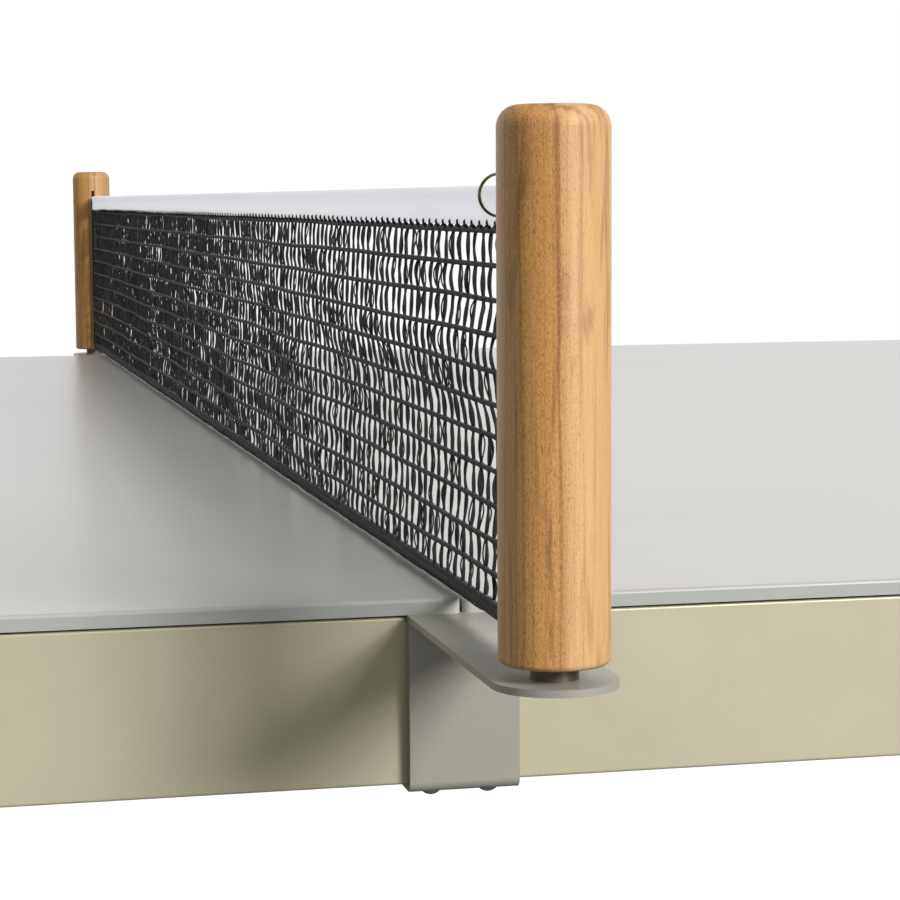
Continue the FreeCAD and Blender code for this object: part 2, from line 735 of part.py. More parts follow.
def corner_brace():
    """Bent plate across the corner: its wings lie on the aprons, its middle on the leg."""
    outside = brace_corners()
    inside = offset_line(outside, BRACE_THICK)
    outline = outside + inside[::-1]
    face = Part.Face(Part.makePolygon(outline + outline[:1]))
    plate = face.extrude(UP * BRACE_HEIGHT)
    plate.translate(V(0, 0, BRACE_BOTTOM))
    hole_d = LEG_BOLT_D + 2 * BOLT_CLEARANCE
    cuts = [
        rod(hole_d, 2 * BRACE_THICK, tuple(V(*start) - OUTWARD * 3 * BRACE_THICK / 2), OUTWARD)
        for start in leg_bolt_starts()
    ]
    for start, direction in brace_screw_places():
        begin = V(*start) + direction * BRACE_THICK / 2
        screw_hole_d = BRACE_SCREW_D + 2 * BOLT_CLEARANCE
        cuts.append(rod(screw_hole_d, 2 * BRACE_THICK, tuple(begin), -direction))
    return plate.cut(cuts)


def brace_screw_places():
    """Screw centres on the wings' inner faces, and the direction into the room."""
    wing_a, _, _, wing_b = brace_corners()
    places = []
    for share in FIXING_SHARES:
        z = BRACE_BOTTOM + BRACE_HEIGHT * share
        a = (wing_a.x - BRACE_THICK, wing_a.y + BRACE_SCREW_EDGE, z)
        b = (wing_b.x + BRACE_SCREW_EDGE, wing_b.y - BRACE_THICK, z)
        places.append((a, -ALONG_X))
        places.append((b, -ALONG_Y))
    return places


def brace_screws():
    screws = []
    for start, direction in brace_screw_places():
        head = rod(BRACE_SCREW_HEAD_D, BRACE_SCREW_HEAD, start, direction)
        shank = rod(BRACE_SCREW_D, BRACE_THICK, start, -direction)
        screws.append(head.fuse(shank).removeSplitter())
    return screws


def leg_ferrule():
    """Metal cap round the leg's end, with a hole for the foot's stem."""
    ferrule_top = FERRULE_BOTTOM + FERRULE_HEIGHT
    outer_r = leg_radius(ferrule_top)
    inner_r = outer_r - FERRULE_WALL
    hole_r = STEM_BORE_D / 2
    cap = revolve([
        (hole_r, FERRULE_BOTTOM),
        (outer_r, FERRULE_BOTTOM),
        (outer_r, ferrule_top),
        (inner_r, ferrule_top),
        (inner_r, LEG_BOTTOM),
        (hole_r, LEG_BOTTOM),
    ])
    cap.translate(V(LEG_X, LEG_Y, 0))
    return cap


def foot_stem():
    """Threaded stem with a spanner hexagon and a plain tip that turns in the pad."""
    pad_top = SOLE_THICK + FOOT_HEIGHT
    hex_z = pad_top + STEM_HEX_GAP
    tip_z = pad_top - STEM_TIP_DEPTH
    tip = rod(STEM_TIP_D, hex_z - tip_z, (LEG_X, LEG_Y, tip_z))
    hex_part = hexagon(STEM_HEX_AF, STEM_HEX_HEIGHT, (LEG_X, LEG_Y, hex_z))
    shank_z = hex_z + STEM_HEX_HEIGHT
    shank_top = LEG_BOTTOM + STEM_BORE_DEPTH - STEM_BORE_SPARE
    shank = rod(STEM_D, shank_top - shank_z, (LEG_X, LEG_Y, shank_z))
    shank = shank.makeChamfer(STEM_TOP_CHAMFER, circles_at(shank, shank_top))
    return tip.fuse([hex_part, shank]).removeSplitter()


def foot_pad():
    """Round pad with a sloped shoulder and a socket for the stem's tip."""
    top = SOLE_THICK + FOOT_HEIGHT
    socket_z = top - STEM_TIP_DEPTH - STEM_TIP_GAP
    pad = revolve([
        (0, SOLE_THICK),
        (FOOT_D / 2, SOLE_THICK),
        (FOOT_D / 2, SOLE_THICK + FOOT_RIM),
        (FOOT_SHOULDER_D / 2, top),
        (STEM_TIP_HOLE_D / 2, top),
        (STEM_TIP_HOLE_D / 2, socket_z),
        (0, socket_z),
    ])
    pad.translate(V(LEG_X, LEG_Y, 0))
    return pad


def foot_sole():
    sole = rod(SOLE_D, SOLE_THICK, (LEG_X, LEG_Y, 0))
    return sole.makeFillet(SOLE_EDGE_R, circles_at(sole, 0))


def save_top_and_frame():
    for half, sign in HALVES.items():
        save("top_" + half, top_half(sign))
        save("apron_" + half, end_apron(sign))
        save("cross_beam_" + half, cross_beam(sign))
    for side in SIDES:
        save("apron_" + side, long_apron(side))
    save("centre_beam", centre_beam())
    save("apron_gaskets", *apron_gaskets())
    save("stringers", *stringers())
    save("beam_pads", *beam_pads())
    save("top_tabs", *top_tabs())
    save("top_screws", *top_screws())
    save("beam_bolts", *beam_bolts())


def save_brackets():
    for side in SIDES:
        save("bracket_arm_" + side, to_side(bracket_arm(), side))
        save("bracket_plate_" + side, to_side(bracket_plate(), side))
        save("bracket_block_" + side, to_side(bracket_block(), side))
        save("spigot_" + side, to_side(spigot(), side))
    save("bracket_screws", *on_both_sides(plate_screws()))


def save_net_set():
    for side in SIDES:
        save("post_" + side, to_side(post(), side))
        save("net_edge_" + side, to_side(net_edge(), side))
    save("post_sleeves", *on_both_sides([post_sleeve()]))
    save("net_rods", *on_both_sides([net_rod()]))
    save("net_mesh", net_mesh())
    save("net_hem", net_hem())
    save("net_cord", net_cord())
    save("net_tape", net_tape())
    save("eyelet", *eyelet())
    save("ring", *ring())


def save_legs():
    all_leg_bolts = []
    all_brace_screws = []
    ferrules = []
    for corner in CORNERS:
        save("leg_" + corner, to_corner(leg(), corner))
        save("corner_brace_" + corner, to_corner(corner_brace(), corner))
        save("foot_stem_" + corner, to_corner(foot_stem(), corner))
        save("foot_pad_" + corner, to_corner(foot_pad(), corner))
        save("foot_sole_" + corner, to_corner(foot_sole(), corner))
        all_leg_bolts += [to_corner(bolt, corner) for bolt in leg_bolts()]
        all_brace_screws += [to_corner(screw, corner) for screw in brace_screws()]
        ferrules.append(to_corner(leg_ferrule(), corner))
    save("leg_bolts", *all_leg_bolts)
    save("brace_screws", *all_brace_screws)
    save("leg_ferrules", *ferrules)


os.makedirs("parts", exist_ok=True)
save_top_and_frame()
save_brackets()
save_net_set()
save_legs()
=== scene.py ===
import json
import math
import random

import bpy
import numpy as np
from mathutils import Matrix, Vector


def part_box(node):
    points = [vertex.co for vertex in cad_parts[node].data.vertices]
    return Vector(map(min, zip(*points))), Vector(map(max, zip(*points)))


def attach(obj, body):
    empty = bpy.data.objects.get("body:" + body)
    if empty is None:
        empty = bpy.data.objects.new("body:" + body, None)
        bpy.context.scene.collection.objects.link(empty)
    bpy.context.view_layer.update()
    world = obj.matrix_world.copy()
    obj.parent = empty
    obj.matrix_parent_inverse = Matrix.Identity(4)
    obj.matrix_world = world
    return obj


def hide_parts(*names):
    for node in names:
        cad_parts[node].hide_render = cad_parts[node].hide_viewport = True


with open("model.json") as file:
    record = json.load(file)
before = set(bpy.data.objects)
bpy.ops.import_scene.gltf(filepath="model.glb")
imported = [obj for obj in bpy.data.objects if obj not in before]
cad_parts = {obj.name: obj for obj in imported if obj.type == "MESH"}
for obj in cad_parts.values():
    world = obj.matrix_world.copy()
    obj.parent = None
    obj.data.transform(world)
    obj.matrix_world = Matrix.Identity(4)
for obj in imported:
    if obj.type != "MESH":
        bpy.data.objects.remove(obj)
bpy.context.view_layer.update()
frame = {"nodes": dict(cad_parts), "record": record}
NODES = frame["nodes"]
SEED = 7

# Places read from the frame, in metres
SURFACE_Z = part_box("top_left")[1].z
MESH_LOW, MESH_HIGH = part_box("net_mesh")
TAPE_LOW, TAPE_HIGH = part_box("net_tape")
HEM_LOW, HEM_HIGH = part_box("net_hem")
EYELET_LOW, EYELET_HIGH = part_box("eyelet")


# --- Camera, light and floor -----------------------------------------------------------------

CAMERA_PLACE = (-0.2071, -1.6596, SURFACE_Z + 0.1474)
CAMERA_YAW = 12.73
CAMERA_PITCH = 5.725
CAMERA_ROLL = -0.333
CAMERA_LENS = 99.95
FLOOR_SIZE = 24.0
FLOOR_DROP = 0.0005


def make_camera():
    data = bpy.data.cameras.new("camera")
    data.sensor_width = 36.0
    data.lens = CAMERA_LENS
    data.clip_start = 0.05
    data.clip_end = 60.0
    camera = bpy.data.objects.new("camera", data)
    turn = Matrix.Rotation(math.radians(-CAMERA_YAW), 4, "Z")
    tilt = Matrix.Rotation(math.radians(90 - CAMERA_PITCH), 4, "X")
    roll = Matrix.Rotation(math.radians(CAMERA_ROLL), 4, "Z")
    camera.matrix_world = Matrix.Translation(CAMERA_PLACE) @ turn @ tilt @ roll
    bpy.context.scene.collection.objects.link(camera)
    bpy.context.scene.camera = camera


KEY_DIRECTION = Vector((0.446, -0.805, 0.391))
KEY_DISTANCE = 7.0
KEY_SIZE = 2.5
KEY_STRENGTH = 1.0
HORIZON_FRONT = 0.09
HORIZON_BACK = 1.65
OVERHEAD = 0.48


def make_key_light():
    """One large soft light, well away to the front right, so that it falls evenly."""
    data = bpy.data.lights.new("key", "AREA")
    data.shape = "DISK"
    data.size = KEY_SIZE
    data.energy = KEY_STRENGTH * math.pi ** 2 * KEY_DISTANCE ** 2
    light = bpy.data.objects.new("key", data)
    light.location = Vector((0, 0, SURFACE_Z)) + KEY_DIRECTION * KEY_DISTANCE
    light.rotation_euler = KEY_DIRECTION.to_track_quat("Z", "Y").to_euler()
    bpy.context.scene.collection.objects.link(light)


def map_range(tree, value, low, high, out_low, out_high):
    node = tree.nodes.new("ShaderNodeMapRange")
    node.interpolation_type = "SMOOTHSTEP"
    limits = {"From Min": low, "From Max": high, "To Min": out_low, "To Max": out_high}
    for name, number in limits.items():
        node.inputs[name].default_value = number
    tree.links.new(value, node.inputs["Value"])
    return node.outputs[0]


def make_world():
    """White behind the table; as light it is brighter at the back and dimmer in front."""
    world = bpy.data.worlds.new("studio")
    world.use_nodes = True
    tree = world.node_tree
    glow = tree.nodes["Background"]
    glow.inputs["Color"].default_value = (1, 1, 1, 1)
    place = tree.nodes.new("ShaderNodeTexCoord")
    split = tree.nodes.new("ShaderNodeSeparateXYZ")
    tree.links.new(place.outputs["Generated"], split.inputs[0])
    horizon = map_range(tree, split.outputs["Y"], 0.0, 0.9, HORIZON_FRONT, HORIZON_BACK)
    height = map_range(tree, split.outputs["Z"], 0.05, 0.6, 0.0, 1.0)
    blend = tree.nodes.new("ShaderNodeMix")
    tree.links.new(height, blend.inputs[0])
    tree.links.new(horizon, blend.inputs[2])
    blend.inputs[3].default_value = OVERHEAD
    tree.links.new(blend.outputs[0], glow.inputs["Strength"])
    paper = tree.nodes.new("ShaderNodeBackground")
    paper.inputs["Color"].default_value = (1, 1, 1, 1)
    seen = tree.nodes.new("ShaderNodeLightPath")
    either = tree.nodes.new("ShaderNodeMixShader")
    tree.links.new(seen.outputs["Is Camera Ray"], either.inputs[0])
    tree.links.new(glow.outputs[0], either.inputs[1])
    tree.links.new(paper.outputs[0], either.inputs[2])
    tree.links.new(either.outputs[0], tree.nodes["World Output"].inputs["Surface"])
    bpy.context.scene.world = world


def make_studio():
    bpy.context.scene.view_settings.view_transform = "Standard"
    make_world()
    make_key_light()
    bpy.ops.mesh.primitive_plane_add(size=FLOOR_SIZE, location=(0, 0, -FLOOR_DROP))
    floor = bpy.context.object
    floor.name = "floor"
    floor.data.materials.append(floor_paint())


# --- Material helpers ------------------------------------------------------------------------


def srgb(red, green, blue):
    """Linear colour from 0-255 screen values."""
    def linear(value):
        value /= 255
        return value / 12.92 if value <= 0.04045 else ((value + 0.055) / 1.055) ** 2.4
    return (linear(red), linear(green), linear(blue), 1.0)


class Paint:
    """A Principled material whose textures are built from nodes in object space."""

    def __init__(self, name, roughness=0.5, metallic=0.0, **sockets):
        self.material = bpy.data.materials.new(name)
        self.material.use_nodes = True
        self.tree = self.material.node_tree
        self.shader = self.tree.nodes["Principled BSDF"]
        self.shader.inputs["Roughness"].default_value = roughness
        self.shader.inputs["Metallic"].default_value = metallic
        for socket, value in sockets.items():
            self.shader.inputs[socket.replace("_", " ")].default_value = value
        self.place = self.add("ShaderNodeTexCoord").outputs["Object"]

    def add(self, kind, **inputs):
        node = self.tree.nodes.new(kind)
        for name, value in inputs.items():
            self.plug(value, node.inputs[name.replace("_", " ")])
        return node

    def plug(self, value, socket):
        if isinstance(value, bpy.types.NodeSocket):
            self.tree.links.new(value, socket)
        else:
            socket.default_value = value

    def stretched(self, scale, shift=(0, 0, 0)):
        node = self.add("ShaderNodeMapping", Vector=self.place, Scale=scale, Location=shift)
        return node.outputs[0]

    def noise(self, scale, detail=3.0, roughness=0.5, distortion=0.0, shift=(0, 0, 0)):
        """Noise from 0 to 1; scale is features per metre along X, Y and Z."""
        node = self.add(
            "ShaderNodeTexNoise", Vector=self.stretched(scale, shift), Scale=1.0, Detail=detail,
            Roughness=roughness, Distortion=distortion,
        )
        return node.outputs["Fac"]

    def wave(self, scale, direction="X", distortion=0.0):
        node = self.add(
            "ShaderNodeTexWave", Vector=self.stretched(scale), Scale=1.0,
            Distortion=distortion, Detail=2.0, Detail_Scale=1.0,
        )
        node.bands_direction = direction
        return node.outputs["Fac"]

    def math(self, operation, first, second=0.0, clamp=False):
        node = self.tree.nodes.new("ShaderNodeMath")
        node.operation = operation
        node.use_clamp = clamp
        self.plug(first, node.inputs[0])
        self.plug(second, node.inputs[1])
        return node.outputs[0]

    def blend(self, first, second, share):
        """Sum of two textures, the first weighted by share and the second by the rest."""
        rest = self.math("MULTIPLY", second, round(1 - share, 6))
        return self.math("ADD", self.math("MULTIPLY", first, share), rest)

    def shifted(self, value, texture, amount):
        """The value moved by up to half of amount each way, as the texture says."""
        offset = self.math("MULTIPLY", self.math("SUBTRACT", texture, 0.5), amount)
        return self.math("ADD", value, offset)

    def between(self, value, low, high, out_low=0.0, out_high=1.0):
        node = self.add("ShaderNodeMapRange", Value=value)
        node.inputs["From Min"].default_value = low
        node.inputs["From Max"].default_value = high
        node.inputs["To Min"].default_value = out_low
        node.inputs["To Max"].default_value = out_high
        return node.outputs[0]

    def ramp(self, value, stops):
        node = self.add("ShaderNodeValToRGB", Fac=value)
        ramp = node.color_ramp
        while len(ramp.elements) < len(stops):
            ramp.elements.new(0.5)
        for element, (position, colour) in zip(ramp.elements, stops):
            element.position = position
            element.color = colour
        return node.outputs["Color"]

    def mix(self, share, first, second, blend="MIX"):
        node = self.tree.nodes.new("ShaderNodeMix")
        node.data_type = "RGBA"
        node.blend_type = blend
        self.plug(share, node.inputs[0])
        self.plug(first, node.inputs[6])
        self.plug(second, node.inputs[7])
        return node.outputs[2]

    def colour(self, value):
        self.plug(value, self.shader.inputs["Base Color"])

    def roughness(self, value):
        self.plug(value, self.shader.inputs["Roughness"])

    def bump(self, height, distance, strength=1.0, under=None):
        node = self.add("ShaderNodeBump", Height=height, Distance=distance, Strength=strength)
        if under is not None:
            self.tree.links.new(under, node.inputs["Normal"])
        self.tree.links.new(node.outputs[0], self.shader.inputs["Normal"])
        return node.outputs[0]


# --- Materials -------------------------------------------------------------------------------


# Light given off: the floor for camera rays only, and a painted glow on the tape, light painted in
# to brighten the white cotton
FLOOR_GLOW = 0.95
TAPE_PAINTED_GLOW = 0.34

# Painted shade line along the fold near the top of the tape: its height above the playing surface,
# and its half widths
FOLD_SHADE_HEIGHT = 0.149
FOLD_SHADE_SPAN = (0.0005, 0.0025)


def floor_paint():
    paint = Paint("floor_paint", roughness=0.7, Emission_Color=(1, 1, 1, 1))
    cloud = paint.noise((0.6, 0.6, 0.6), detail=2)
    paint.colour(paint.ramp(cloud, [(0.3, srgb(108, 108, 108)), (0.7, srgb(112, 112, 112))]))
    seen = paint.tree.nodes.new("ShaderNodeLightPath").outputs["Is Camera Ray"]
    paint.plug(paint.math("MULTIPLY", seen, FLOOR_GLOW), paint.shader.inputs["Emission Strength"])
    return paint.material


def laminate():
    """Satin warm-grey compact laminate with a very fine tooth and a greyer cut edge."""
    paint = Paint("laminate", roughness=0.3, Specular_IOR_Level=0.36)
    cloud = paint.noise((3, 3, 3), detail=4)
    grain = paint.noise((900, 900, 900), detail=2)
    shade = paint.blend(cloud, grain, 0.7)
    face = paint.ramp(shade, [(0.3, srgb(178, 175, 170)), (0.7, srgb(186, 183, 178))])
    core = paint.ramp(shade, [(0.3, srgb(168, 170, 165)), (0.7, srgb(176, 178, 173))])
    height = paint.add("ShaderNodeSeparateXYZ", Vector=paint.place).outputs["Z"]
    on_face = paint.between(height, SURFACE_Z - 0.0016, SURFACE_Z - 0.0010)
    paint.colour(paint.mix(on_face, core, face))
    smear = paint.noise((5, 5, 5), detail=2)
    paint.roughness(paint.between(smear, 0.3, 0.7, 0.31, 0.32))
    tooth = paint.noise((1600, 1600, 1600), detail=2)
    paint.bump(tooth, 0.00001, 0.3)
    return paint.material


def powder_coat(name, dark, light, roughness, metallic):
    """Powder coat: slight mottling, an orange-peel skin and small differences in gloss."""
    paint = Paint(name, roughness=roughness, metallic=metallic)
    mottle = paint.noise((14, 14, 14), detail=5)
    speck = paint.noise((1500, 1500, 1500), detail=1)
    shade = paint.blend(mottle, speck, 0.75)
    paint.colour(paint.ramp(shade, [(0.3, dark), (0.7, light)]))
    gloss = paint.noise((30, 30, 30), detail=4)
    paint.roughness(paint.between(gloss, 0.3, 0.7, roughness - 0.05, roughness + 0.06))
    peel = paint.noise((900, 900, 900), detail=2)
    paint.bump(peel, 0.00004, 0.6)
    return paint.material


def bare_steel(name, dark, light, roughness, metallic=1.0):
    """Plated steel with fine turning marks and a few dull patches."""
    paint = Paint(name, roughness=roughness, metallic=metallic)
    patch = paint.noise((120, 120, 120), detail=4)
    marks = paint.noise((300, 300, 4000), detail=2)
    paint.colour(paint.ramp(patch, [(0.35, dark), (0.7, light)]))
    paint.roughness(paint.between(patch, 0.3, 0.7, roughness - 0.07, roughness + 0.12))
    paint.bump(marks, 0.00002, 0.4)
    return paint.material


GRAIN_REPEAT = 0.060
GRAIN_START = 0.018


def teak():
    """Oiled teak: flat growth bands across X, a dark mineral line, fibres and fine pores."""
    paint = Paint("teak", roughness=0.5, Specular_IOR_Level=0.35)
    across = paint.add("ShaderNodeSeparateXYZ", Vector=paint.place).outputs["X"]
    wander = paint.noise((16, 16, 7.0), detail=2, roughness=0.5)
    bent = paint.shifted(across, wander, 0.0055)
    ripple = paint.noise((260, 260, 9), detail=2, roughness=0.5)
    bent = paint.shifted(bent, ripple, 0.0012)
    share = paint.math("DIVIDE", paint.math("ADD", bent, GRAIN_START), GRAIN_REPEAT)
    tone = paint.ramp(paint.math("FRACT", share), [
        (0.00, srgb(200, 160, 103)), (0.050, srgb(194, 152, 94)), (0.062, srgb(168, 118, 66)),
        (0.072, srgb(205, 150, 82)),
        (0.15, srgb(205, 149, 82)), (0.228, srgb(198, 146, 82)), (0.243, srgb(154, 106, 68)),
        (0.252, srgb(200, 150, 96)), (0.285, srgb(207, 161, 110)), (0.33, srgb(214, 172, 124)),
        (0.362, srgb(209, 169, 122)), (0.367, srgb(190, 146, 98)), (0.374, srgb(208, 168, 120)),
        (0.47, srgb(202, 162, 114)), (0.60, srgb(200, 161, 113)), (0.72, srgb(202, 150, 92)),
        (0.80, srgb(210, 164, 112)), (0.88, srgb(190, 140, 88)), (1.00, srgb(201, 160, 109)),
    ])
    fade = paint.noise((40, 40, 7), detail=3, shift=(2.2, 0.7, 5.1))
    plain = paint.ramp(fade, [(0.3, srgb(203, 155, 100)), (0.7, srgb(214, 171, 122))])
    base = paint.mix(paint.between(fade, 0.35, 0.75, 0.08, 0.42), tone, plain)
    fibre = paint.noise((1300, 1300, 34), detail=3, roughness=0.6)
    fibre_tone = paint.ramp(fibre, [(0.3, (0.42, 0.4, 0.38, 1)), (0.66, (0.57, 0.56, 0.55, 1))])
    base = paint.mix(0.6, base, fibre_tone, "OVERLAY")
    line = paint.noise((420, 420, 5), detail=2, roughness=0.5, shift=(0.6, 2.0, 0.0))
    base = paint.mix(paint.between(line, 0.55, 0.69, 0.0, 0.5), base, srgb(132, 88, 49))
    streak = paint.noise(
        (130, 130, 11), detail=4, roughness=0.65, distortion=0.6, shift=(3.1, 0.4, 1.7)
    )
    streaked = paint.between(streak, 0.53, 0.66, 0.0, 0.7)
    base = paint.mix(streaked, base, srgb(136, 92, 52))
    open_zone = paint.ramp(paint.math("FRACT", share), [
        (0.0, (0.5, 0.5, 0.5, 1)), (0.08, (1, 1, 1, 1)), (0.25, (0.9, 0.9, 0.9, 1)),
        (0.40, (0.25, 0.25, 0.25, 1)), (0.65, (0.2, 0.2, 0.2, 1)), (1.0, (0.5, 0.5, 0.5, 1)),
    ])
    fleck = paint.noise((2500, 2500, 1000), detail=2, roughness=0.6, shift=(1.5, 0.3, 2.2))
    dark_fleck = paint.between(fleck, 0.46, 0.34, 0.0, 0.62)
    base = paint.mix(paint.math("MULTIPLY", dark_fleck, open_zone), base, srgb(150, 96, 44))
    # Pale flecks in the open zone are painted glints: light caught in the pores, painted as pale
    # colour.
    painted_glint_fleck = paint.between(fleck, 0.58, 0.68, 0.0, 0.5)
    base = paint.mix(paint.math("MULTIPLY", painted_glint_fleck, open_zone), base, srgb(226, 182, 128))
    pore = paint.noise((2300, 2300, 460), detail=1, roughness=0.4, shift=(5, 5, 5))
    pore_mask = paint.math("MULTIPLY", paint.between(pore, 0.64, 0.74), open_zone)
    base = paint.mix(paint.math("MULTIPLY", pore_mask, 0.6), base, srgb(112, 72, 40))
    paint.colour(base)
    paint.roughness(paint.between(fibre, 0.3, 0.7, 0.44, 0.6))
    skin = paint.bump(fibre, 0.00004, 0.45)
    paint.bump(paint.math("SUBTRACT", 1.0, pore_mask), 0.00006, 0.5, under=skin)
    return paint.material


def net_thread():
    """Matt black knitting thread with a fine twist and a slight dusty bloom."""
    paint = Paint("net_thread", roughness=0.85, Sheen_Weight=0.08, Sheen_Roughness=0.5)
    lint = paint.noise((700, 700, 700), detail=3)
    paint.colour(paint.ramp(lint, [(0.35, srgb(16, 17, 15)), (0.75, srgb(32, 33, 30))]))
    twist = paint.wave((1100, 1100, 1100), direction="DIAGONAL", distortion=1.5)
    paint.bump(twist, 0.00015, 0.6)
    return paint.material


def tape_cloth():
    """White cotton: plain weave and a painted shade line along the fold."""
    # The emission gives the tape a painted glow: light painted in to make the cotton brighter.
    paint = Paint(
        "tape_cotton", roughness=0.9, Sheen_Weight=0.35, Sheen_Roughness=0.4,
        Emission_Color=(0.93, 0.95, 1.0, 1), Emission_Strength=TAPE_PAINTED_GLOW,
    )
    paint.shader.inputs["Subsurface Weight"].default_value = 0.6
    paint.shader.inputs["Subsurface Radius"].default_value = (1.0, 1.0, 1.0)
    paint.shader.inputs["Subsurface Scale"].default_value = 0.003
    warp = paint.wave((1400, 1400, 1400), direction="Y", distortion=0.4)
    weft = paint.wave((1400, 1400, 1400), direction="Z", distortion=0.4)
    weave = paint.math("MULTIPLY", warp, weft)
    cloud = paint.noise((14, 14, 90), detail=4)
    shade = paint.blend(weave, cloud, 0.3)
    cloth = paint.ramp(shade, [(0.25, srgb(232, 233, 236)), (0.75, srgb(246, 247, 249))])
    height = paint.add("ShaderNodeSeparateXYZ", Vector=paint.place).outputs["Z"]
    line = SURFACE_Z + FOLD_SHADE_HEIGHT
    into_fold_shade = paint.between(height, line - FOLD_SHADE_SPAN[1], line - FOLD_SHADE_SPAN[0])
    out_of_fold_shade = paint.between(height, line + FOLD_SHADE_SPAN[0], line + FOLD_SHADE_SPAN[1], 1.0, 0.0)
    fold_shade = paint.math("MULTIPLY", into_fold_shade, out_of_fold_shade)
    # Grey band of painted shade where the rolled top of the tape folds over its sides.
    cloth = paint.mix(paint.math("MULTIPLY", fold_shade, 0.35), cloth, srgb(196, 198, 202))
    paint.colour(cloth)
    paint.bump(weave, 0.0001, 0.5)
    return paint.material


def brass():
    """Aged brass wire: darker in the pits, brighter where it is rubbed."""
    paint = Paint("antique_brass", roughness=0.32, metallic=1.0)
    age = paint.noise((500, 500, 500), detail=4)
    paint.colour(paint.ramp(age, [(0.35, srgb(70, 62, 38)), (0.65, srgb(132, 118, 78))]))
    paint.roughness(paint.between(age, 0.3, 0.7, 0.45, 0.25))
    return paint.material


def moulded(name, dark, light, roughness):
    paint = Paint(name, roughness=roughness)
    cloud = paint.noise((60, 60, 60), detail=4)
    paint.colour(paint.ramp(cloud, [(0.3, dark), (0.7, light)]))
    skin = paint.noise((1300, 1300, 1300), detail=2)
    paint.bump(skin, 0.00008, 0.5)
    return paint.material


MATERIALS = {
    "laminate": laminate(),
    "frame_paint": powder_coat(
        "frame_paint", srgb(189, 183, 155), srgb(196, 190, 162), roughness=0.42, metallic=0.2
    ),
    "bracket_paint": powder_coat(
        "bracket_paint", srgb(158, 155, 144), srgb(166, 163, 152), roughness=0.42, metallic=0.15
    ),
    "dark_steel": bare_steel("dark_steel", srgb(96, 88, 80), srgb(128, 118, 108), 0.45, 0.7),
    "zinc_steel": bare_steel("zinc_steel", srgb(176, 176, 172), srgb(214, 214, 210), 0.3),
    "teak": teak(),
    "net_thread": net_thread(),
    "tape_cotton": tape_cloth(),
    "antique_brass": brass(),
    "rod_fibreglass": moulded("rod_fibreglass", srgb(30, 30, 30), srgb(44, 44, 44), 0.5),
    "foot_nylon": moulded("foot_nylon", srgb(34, 34, 34), srgb(48, 48, 48), 0.55),
    "seal_rubber": moulded("seal_rubber", srgb(20, 20, 20), srgb(32, 32, 32), 0.8),
}


# --- CAD nodes: materials, smooth shading and softened edges ---------------------------------

SOFT_EDGES = {
    "bracket_arm_near": 0.0004, "bracket_arm_far": 0.0004,
    "bracket_plate_near": 0.0004, "bracket_plate_far": 0.0004,
}
SMOOTH_ANGLE = math.radians(32)


def dress_cad_nodes():
    slots = {s["node"]: s["material_slot"] for s in frame["record"]["subparts"]}
    for name, node in NODES.items():
        node.data.materials.clear()
        node.data.materials.append(MATERIALS[slots[name]])
        for polygon in node.data.polygons:
            polygon.use_smooth = True
            polygon.material_index = 0
        node.data.set_sharp_from_angle(angle=SMOOTH_ANGLE)
        if name in SOFT_EDGES:
            bevel = node.modifiers.new("soft_edge", "BEVEL")
            bevel.width = SOFT_EDGES[name]
            bevel.segments = 2
            bevel.limit_method = "ANGLE"
            bevel.angle_limit = SMOOTH_ANGLE


# --- Mesh helpers ----------------------------------------------------------------------------


def new_piece(name, vertices, faces, slot, body, smooth=True):
    mesh = bpy.data.meshes.new(name)
    mesh.from_pydata([tuple(v) for v in vertices], [], faces)
    mesh.validate()
    mesh.materials.append(MATERIALS[slot])
    if smooth:
        mesh.polygons.foreach_set("use_smooth", [True] * len(mesh.polygons))
    mesh.update()
    piece = bpy.data.objects.new(name, mesh)
    bpy.context.scene.collection.objects.link(piece)
    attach(piece, body)
    return piece


class Tubes:
    """Many capped tubes gathered into one mesh."""

    def __init__(self):
        self.vertices = []
        self.faces = []
        self.count = 0

    def add(self, path, radius, sides=6, across=(1, 0, 0), flatten=1.0):
        """path is N x 3, radius one number or N; the path never runs along across."""
        path = np.asarray(path, float)
        tangent = np.gradient(path, axis=0)
        tangent /= np.linalg.norm(tangent, axis=1)[:, None]
        side = np.cross(tangent, np.asarray(across, float))
        side /= np.linalg.norm(side, axis=1)[:, None]
        other = np.cross(side, tangent)
        radius = np.broadcast_to(np.asarray(radius, float), len(path))
        angles = np.arange(sides) * 2 * math.pi / sides
        rings = (
            path[:, None, :]
            + side[:, None, :] * (np.cos(angles)[None, :] * radius[:, None])[:, :, None]
            + other[:, None, :] * (np.sin(angles)[None, :] * radius[:, None] * flatten)[:, :, None]
        )
        start = self.count
        self.vertices.append(rings.reshape(-1, 3))
        self.count += len(path) * sides
        for i in range(len(path) - 1):
            a = start + i * sides
            b = a + sides
            for k in range(sides):
                n = (k + 1) % sides
                self.faces.append((a + k, b + k, b + n, a + n))
        last = start + (len(path) - 1) * sides
        self.faces.append(tuple(start + k for k in range(sides)))
        self.faces.append(tuple(last + k for k in reversed(range(sides))))

    def piece(self, name, slot, body):
        return new_piece(name, np.concatenate(self.vertices), self.faces, slot, body)


class Drift:
    """A smooth random value along one line, from -1 to 1."""

    def __init__(self, rng, spacing, length):
        self.spacing = spacing
        self.values = [rng.uniform(-1, 1) for _ in range(int(length / spacing) + 4)]

    def at(self, distance):
        place = distance / self.spacing
        i = int(place)
        t = place - i
        t = t * t * (3 - 2 * t)
        return self.values[i] * (1 - t) + self.values[i + 1] * t


# --- Net -------------------------------------------------------------------------------------

